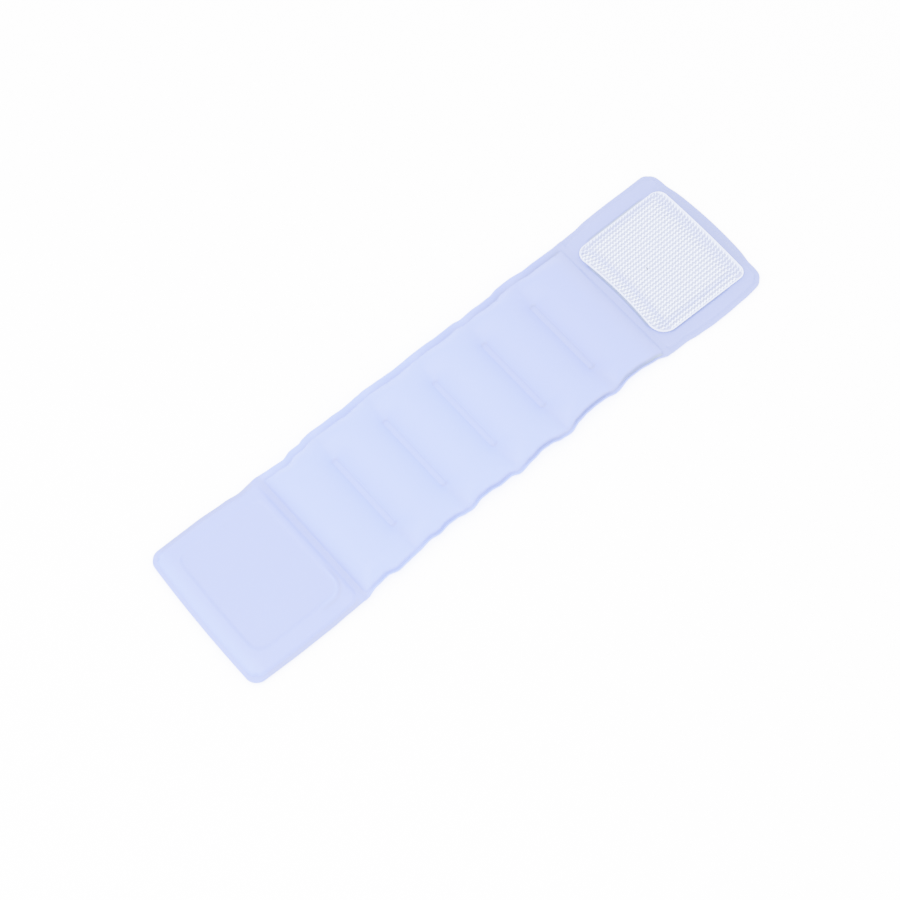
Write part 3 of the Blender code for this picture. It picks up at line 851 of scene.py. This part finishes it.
# The welded band, with closer mesh lines at its welds, rim, bar ends, patch and panel
BAND_X_MARKS = [(bar, 1.9, 0.26) for bar in BARS]
BAND_X_MARKS += pair(0, SEAM_IN, 1.0, 0.26) + pair(0, SEAM_OUT, 1.0, 0.26)
BAND_X_MARKS += pair(0, HALF_LENGTH - WELD, 0.6, 0.25) + pair(0, HALF_LENGTH - EDGE, 0.3, 0.30)
BAND_X_MARKS += [(HOOK_X - HOOK_LENGTH / 2 + 0.4, 1.4, 0.25)]
BAND_X_MARKS += pair(PANEL_X, PANEL_LENGTH / 2 + 0.8, 1.4, 0.32)
BAND_Y_MARKS = pair(0, WELD_Y, 1.5, 0.22) + pair(0, HALF_WIDTH - EDGE, 0.3, 0.28)
BAND_Y_MARKS += pair(0, BAR_LENGTH / 2, 0.8, 0.28)
BAND_Y_MARKS += [(HOOK_WIDTH / 2 - 0.3, 1.0, 0.25), (-HOOK_WIDTH / 2 - 1.0, 0.9, 0.25)]
BAND_Y_MARKS += pair(PANEL_Y, PANEL_WIDTH / 2 + 0.8, 1.4, 0.45)
BAND_STEP_X, BAND_STEP_Y = 1.0, 1.1

band_xs = lines(EDGE - HALF_LENGTH, HALF_LENGTH - EDGE, BAND_X_MARKS, BAND_STEP_X)
band_ys = lines(EDGE - HALF_WIDTH, HALF_WIDTH - EDGE, BAND_Y_MARKS, BAND_STEP_Y)
verts, faces, shade = closed_sheet(band_xs, band_ys, band_plan, upper_height, lower_height, EDGE, pressed)
verts[:, :2] -= CENTRE
band = make_mesh("welded_band", verts, faces, film_material(), shade)
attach(band, "root")
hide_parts("top_film", "bottom_film", "gel_core")

# Hook patch: heights of its tape and hooks, its rows, and the colors of both
HOOK_BASE_LOW = 1.46
HOOK_BASE_TOP = 2.30
HOOK_TOP = 3.30
HOOK_SINK, HOOK_BELOW_TOP = 0.10, 0.2
HOOK_UNDER_RISE, HOOK_UNDER_REACH = 0.50, 1.2
ROW_PITCH, ZIGZAG_PITCH, ZIGZAG = 1.46, 1.42, 0.30
SPARE_ROWS, SPARE_STEPS = 3, 2
RIB, RIB_FADE = 0.20, (0.35, 0.5)
RIM_TOP, END_RIM, SIDE_RIM = 0.42, 0.40, 0.30
TAPE_EDGE, TAPE_INSET = 0.28, 0.3
# Tape tones below the hooks: the pressed and plain ones are dark with painted shade between the hooks, and
# the rim is lighter
TAPE_COLORS = ((0.175, 0.20, 0.50), (0.225, 0.245, 0.48), (0.44, 0.50, 0.82))
ROW_COLORS = ((0.36, 0.45, 0.88), (0.595, 0.705, 1.0))

# Strips inside the patch's edges, by place and width: lower hooks, worn bands and the light rim
NAP_LEFT, NAP_RIGHT, NAP_BACK = (5.2, 1.3), (3.3, 1.3), (2.7, 0.7)
NAP_END_LOSS, NAP_BACK_LOSS = 0.30, 0.25
WORN_LEFT, WORN_RIGHT, WORN_FRONT, WORN_BACK = (4.9, 1.5), (3.1, 2.3), (3.5, 1.2), (1.6, 1.3)
WORN_LESS = 0.9
END_RIM_STRIP, SIDE_RIM_STRIP = (0.35, 0.40), (0.30, 0.28)
RIM_LEFT, RIM_RIGHT, RIM_SIDE = 0.70, 1.15, 0.60
RIM_END_SOFT, RIM_SIDE_SOFT = 0.4, 0.3

# Side shift of the rows: the fan at the left end, and a dip near each end
FAN, FAN_REACH = 1.2, 4.0
LEFT_DIP, RIGHT_DIP = 0.22, 0.50
LEFT_DIP_STRIP, RIGHT_DIP_STRIP = (4.8, 1.4), (3.6, 1.5)

# One hook: its path from foot to tip as shares of its reach and height, and its ribbon's size
HOOK_PATH = ((0.0, -0.2), (0.02, 0.35), (0.14, 0.72), (0.36, 0.95), (0.62, 1.0), (0.86, 0.86), (0.96, 0.60))
HOOK_HALF_THICK = 0.06
WIDE_HALF, NARROW_HALF, PRESSED_WIDTH = 0.250, 0.125, 0.6
NARROW_HEIGHT = 0.52
HOOK_OVERREACH = 1.15

# Edges without hooks, and the strip at the back with only wide ones
BARE_EDGE, BARE_RIGHT, SELVEDGE = 0.55, 1.05, 1.7

# Where a hook starts, in millimetres before its step of the zigzag, and ends, as a share of it
HOOK_EARLY, HOOK_STRIDE = 0.12, 0.52

# Chance unevenness of the hooks in millimetres: start, side and height
HOOK_SEED = 5
START_NOISE, SIDE_NOISE, HEIGHT_NOISE = 0.04, 0.025, 0.06


def zigzag(x):
    """Side step of a row at x, a triangle wave."""
    return ZIGZAG * (4 * np.abs((x / ZIGZAG_PITCH) % 1 - 0.5) - 1)


def row_shift(x):
    """Side shift of all rows: they fan up at the left end and dip before the right one."""
    left, right = HOOK_LENGTH / 2 + x, HOOK_LENGTH / 2 - x
    fan = FAN * np.clip((FAN_REACH - left) / FAN_REACH, 0, 1)
    return fan - LEFT_DIP * strip(left, LEFT_DIP_STRIP) - RIGHT_DIP * strip(right, RIGHT_DIP_STRIP)


def nap(x, y):
    """Height share of the hooks: lower in the pressed bands along both ends and near the top."""
    left, right = HOOK_LENGTH / 2 + x, HOOK_LENGTH / 2 - x
    ends = NAP_END_LOSS * (strip(left, NAP_LEFT) + strip(right, NAP_RIGHT))
    return 1 - ends - NAP_BACK_LOSS * strip(HOOK_WIDTH / 2 - y, NAP_BACK)


def worn(x, y):
    """Share of the pressed, darker bands just inside the patch's four sides."""
    left, right = HOOK_LENGTH / 2 + x, HOOK_LENGTH / 2 - x
    front, back = HOOK_WIDTH / 2 + y, HOOK_WIDTH / 2 - y
    ends = strip(left, WORN_LEFT) + WORN_LESS * strip(right, WORN_RIGHT)
    sides = WORN_LESS * strip(front, WORN_FRONT) + strip(back, WORN_BACK)
    return np.clip(np.maximum(ends, sides), 0, 1)


def hook_spot(x, y):
    """Place of a point of the straight patch, without rounding its corners."""
    dx, dy = hook_bend(x, y)
    return x + dx + hook_x, y + dy + hook_y


def hook_plan(x, y):
    """Plan of the hook tape: round corners and bowed ends."""
    return hook_spot(*round_corner(x, y, HOOK_LENGTH / 2, HOOK_WIDTH / 2, hook_radius(x, y)))


def hook_edges(x, y):
    """Distance in from the patch's ends, and from its front and back edges."""
    return HOOK_LENGTH / 2 - np.abs(x), HOOK_WIDTH / 2 - np.abs(y)


def hook_floor(x, y):
    """Top of the tape: woven ribs in zigzag rows inside a thin rim."""
    end, side = hook_edges(x, y)
    rim = END_RIM * strip(end, END_RIM_STRIP) + SIDE_RIM * strip(side, SIDE_RIM_STRIP)
    rows = np.cos(2 * math.pi * (y - row_shift(x) - zigzag(x)) / ROW_PITCH)
    rib = RIB * rows * nap(x, y) * fade(np.minimum(end, side), RIB_FADE)
    return HOOK_BASE_TOP + np.minimum(rim, RIM_TOP) + rib


def hook_tone(x, y):
    """Tone of the tape below the hooks: 0 in the pressed bands, 0.5 plain, 1 on the light rim. The lower
    tones are painted shade between the hooks.
    """
    end, side = hook_edges(x, y)
    wide = np.where(x > 0, RIM_RIGHT, RIM_LEFT)
    rim = np.maximum(ease((wide - end) / RIM_END_SOFT), ease((RIM_SIDE - side) / RIM_SIDE_SOFT))
    return 0.5 + 0.5 * rim - 0.5 * worn(x, y) * (1 - rim)


def hook_under(x, y):
    """Underside of the tape, raised a little at its edge."""
    edge = np.minimum(*hook_edges(x, y))
    return HOOK_BASE_LOW + HOOK_UNDER_RISE * (1 - ease(edge / HOOK_UNDER_REACH))


def hook_places(rng):
    """Start and end of every hook on the straight patch, and whether it's a wide one."""
    rows = int(HOOK_WIDTH / ROW_PITCH) + SPARE_ROWS
    steps = int(HOOK_LENGTH / ZIGZAG_PITCH) + SPARE_STEPS
    row, step, limb = np.meshgrid(np.arange(rows), np.arange(steps), (0, 1), indexing="ij")
    row, step, limb = row.ravel(), step.ravel(), limb.ravel()
    start = (step - steps / 2) * ZIGZAG_PITCH + limb * ZIGZAG_PITCH / 2
    start = start + rng.normal(0, START_NOISE, start.shape)
    x0, x1 = start - HOOK_EARLY, start + ZIGZAG_PITCH * HOOK_STRIDE
    middle = (row - rows / 2) * ROW_PITCH
    y0 = middle + zigzag(x0) + row_shift(x0) + rng.normal(0, SIDE_NOISE, start.shape)
    y1 = middle + zigzag(x1) + row_shift(x1) + rng.normal(0, SIDE_NOISE, start.shape)
    xm, ym = (x0 + x1) / 2, (y0 + y1) / 2
    outside = outside_box(xm, ym, HOOK_LENGTH / 2, HOOK_WIDTH / 2, hook_radius(xm, ym))
    wide = zigzag(x1) > zigzag(x0)
    selvedge = ym > HOOK_WIDTH / 2 - SELVEDGE
    keep = (outside < -BARE_EDGE) & (HOOK_LENGTH / 2 - xm > BARE_RIGHT) & (wide | ~selvedge)
    return x0[keep], y0[keep], x1[keep], y1[keep], wide[keep]


def hook_cells(rings):
    """Faces of one hook: four sides between each two rings of corners, and both caps."""
    cells = []
    for k in range(rings - 1):
        for c in range(4):
            e = (c + 1) % 4
            cells.append((4 * k + c, 4 * k + e, 4 * k + 4 + e, 4 * k + 4 + c))
    last = 4 * rings - 4
    return np.array(cells + [(3, 2, 1, 0), (last, last + 1, last + 2, last + 3)])


def hook_rows():
    """All hooks of the patch, two to each step of the zigzag, as flat ribbons that bend over."""
    rng = np.random.default_rng(HOOK_SEED)
    x0, y0, x1, y1, wide = hook_places(rng)
    ax, ay = hook_spot(x0, y0)
    bx, by = hook_spot(x1, y1)
    foot = hook_floor(x0, y0) - HOOK_SINK
    tall = (HOOK_TOP - HOOK_BASE_TOP - HOOK_BELOW_TOP) * nap(x0, y0) * np.where(wide, 1.0, NARROW_HEIGHT)
    tall = tall - np.abs(rng.normal(0, HEIGHT_NOISE, x0.shape))
    reach = np.hypot(bx - ax, by - ay)
    ux, uy = (bx - ax) / reach, (by - ay) / reach
    half_wide = np.where(wide, WIDE_HALF, NARROW_HALF)
    half_wide = half_wide * (PRESSED_WIDTH + (1 - PRESSED_WIDTH) * nap(x0, y0))
    path = np.array(HOOK_PATH)
    along = np.gradient(path, axis=0)
    normal = np.stack([-along[:, 1], along[:, 0]], -1)
    normal /= np.linalg.norm(normal, axis=1)[:, None]
    points = []
    for (u, w), (nu, nw) in zip(path, normal):
        for across, out in SQUARE:
            du = u * reach * HOOK_OVERREACH + nu * HOOK_HALF_THICK * out
            dv = across * half_wide
            points.append(np.stack([ax + ux * du - uy * dv, ay + uy * du + ux * dv,
                                    foot + w * tall + nw * HOOK_HALF_THICK * out], -1))
    points = np.stack(points, 1)
    count, size = points.shape[:2]
    faces = hook_cells(len(path))[None] + (np.arange(count) * size)[:, None, None]
    shade = np.repeat(1 - worn((x0 + x1) / 2, (y0 + y1) / 2), size)
    return points.reshape(-1, 3), faces.reshape(-1, 4), shade


half_x, half_y = HOOK_LENGTH / 2 - TAPE_INSET, HOOK_WIDTH / 2 - TAPE_INSET
hook_xs = lines(-half_x, half_x, pair(0, half_x, 1.0, 0.16), 0.24)
hook_ys = lines(-half_y, half_y, pair(0, half_y, 1.0, 0.16), 0.21)
verts, faces, shade = closed_sheet(hook_xs, hook_ys, hook_plan, hook_floor, hook_under, TAPE_EDGE, hook_tone)
hook_base = make_mesh("hook_tape_base", verts, faces, tape_material("hook tape", TAPE_COLORS, 0.55, True),
                      shade)
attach(hook_base, "root")
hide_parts("hook_patch")
verts, faces, shade = hook_rows()
hooks = make_mesh("hook_rows", verts, faces, tape_material("hook rows", ROW_COLORS, 0.40, True), shade)
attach(hooks, "root")

# Loop patch under the left tab
LOOP_COLORS = ((0.76, 0.78, 0.85), (0.84, 0.86, 0.92))
LOOP_EDGE_DROP, LOOP_DROP_REACH = 0.35, 1.0
LOOP_EDGE_RISE, LOOP_RISE_REACH = 0.45, 1.6
LOOP_FUZZ, FUZZ_LEVEL, FUZZ_SHARE = 0.16, 0.22, 0.8
LONG_FUZZ_SEED, LONG_FUZZ_LENGTH, SHORT_FUZZ_SEED, SHORT_FUZZ_LENGTH = 1.3, 1.9, 5.1, 1.1
LOOP_STEP = 0.34


def loop_plan(x, y):
    """Plan of the loop patch, in its place under the left tab."""
    new_x, new_y = round_corner(x, y, LOOP_LENGTH / 2, LOOP_WIDTH / 2, LOOP_RADIUS)
    return new_x + loop_x, new_y + loop_y


def loop_inset(x, y):
    """Distance in from the loop patch's nearest edge."""
    return np.minimum(LOOP_LENGTH / 2 - np.abs(x), LOOP_WIDTH / 2 - np.abs(y))


def loop_top(x, y):
    """Top of the loop tape, lower at its edge."""
    return LOOP_THICKNESS + CLEARANCE - LOOP_EDGE_DROP * (1 - ease(loop_inset(x, y) / LOOP_DROP_REACH))


def loop_nap(x, y):
    """Uneven fuzzy underside of the loop tape, raised at its edge."""
    fuzz = ripple(x, y, LONG_FUZZ_SEED, LONG_FUZZ_LENGTH) + ripple(x, y, SHORT_FUZZ_SEED, SHORT_FUZZ_LENGTH)
    fuzz = LOOP_FUZZ * fuzz + FUZZ_LEVEL
    rise = LOOP_EDGE_RISE * (1 - ease(loop_inset(x, y) / LOOP_RISE_REACH))
    return np.maximum(0.0, rise + fuzz * FUZZ_SHARE)


half_x, half_y = LOOP_LENGTH / 2 - TAPE_INSET, LOOP_WIDTH / 2 - TAPE_INSET
loop_xs = lines(-half_x, half_x, [], LOOP_STEP)
loop_ys = lines(-half_y, half_y, [], LOOP_STEP)
verts, faces, _ = closed_sheet(loop_xs, loop_ys, loop_plan, loop_top, loop_nap, TAPE_EDGE)
loops = make_mesh("loop_tape", verts, faces, tape_material("loop tape", LOOP_COLORS, 0.9))
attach(loops, "root")
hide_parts("loop_patch")

# Floor, with a little light of its own so that it stays as white as the photograph's
FLOOR_GLOW = 4.0
FLOOR_SIZE, FLOOR_DROP = 3.0, 0.0001
FLOOR_COLORS = ((0.915, 0.915, 0.915), (0.925, 0.925, 0.925))
floor_nodes = Nodes("floor")
floor_noise = noise(floor_nodes, object_position(floor_nodes), scale=9.0, detail=2.0)
floor_color = tones(floor_nodes, floor_noise, FLOOR_COLORS, low=0.3, high=0.7)
floor_nodes.link(floor_color, floor_nodes.shader.inputs["Base Color"])
floor_nodes.set(Roughness=0.9, Emission_Strength=FLOOR_GLOW)
floor_nodes.shader.inputs["Emission Color"].default_value = (1, 1, 1, 1)
floor_mesh = bpy.data.meshes.new("floor")
floor_corners = [(FLOOR_SIZE * x, FLOOR_SIZE * y, 0) for x, y in SQUARE]
floor_mesh.from_pydata(floor_corners, [], [(0, 1, 2, 3)])
floor_mesh.materials.append(floor_nodes.material)
floor = bpy.data.objects.new("floor", floor_mesh)
floor.location.z = -FLOOR_DROP
bpy.context.scene.collection.objects.link(floor)

# Light: an even white studio and one soft key light
WORLD_LIGHT = 10.0
KEY_PLACE, KEY_SIZE, KEY_POWER = (-0.32, -0.10, 0.75), 0.5, 19.0
world = bpy.data.worlds.new("studio")
world.use_nodes = True
world.node_tree.nodes["Background"].inputs["Color"].default_value = (1.0, 1.0, 1.0, 1)
world.node_tree.nodes["Background"].inputs["Strength"].default_value = WORLD_LIGHT
bpy.context.scene.world = world
key_data = bpy.data.lights.new("key", "AREA")
key_data.shape = "RECTANGLE"
key_data.size = key_data.size_y = KEY_SIZE
key_data.energy = KEY_POWER
key = bpy.data.objects.new("key", key_data)
key.location = KEY_PLACE
key.rotation_mode = "QUATERNION"
key.rotation_quaternion = (-Vector(KEY_PLACE)).to_track_quat("-Z", "Y")
bpy.context.scene.collection.objects.link(key)

# Camera at the photograph's angle, from a fit to the band's outline, bars and seams
AZIMUTH, ELEVATION = math.radians(-40.91), math.radians(65.41)
DISTANCE = 0.85503
TARGET = Vector((-0.01166, -0.00628, 0.0))
LENS, SENSOR = 100.0, 36.0
back = Vector((math.sin(AZIMUTH) * math.cos(ELEVATION), -math.cos(AZIMUTH) * math.cos(ELEVATION),
               math.sin(ELEVATION)))
camera_data = bpy.data.cameras.new("camera")
camera_data.sensor_width = SENSOR
camera_data.lens = LENS
camera_data.clip_start = 0.05
camera_data.clip_end = 20.0
camera = bpy.data.objects.new("camera", camera_data)
camera.location = TARGET + back * DISTANCE
camera.rotation_mode = "QUATERNION"
camera.rotation_quaternion = (-back).to_track_quat("-Z", "Y")
bpy.context.scene.collection.objects.link(camera)
bpy.context.scene.camera = camera
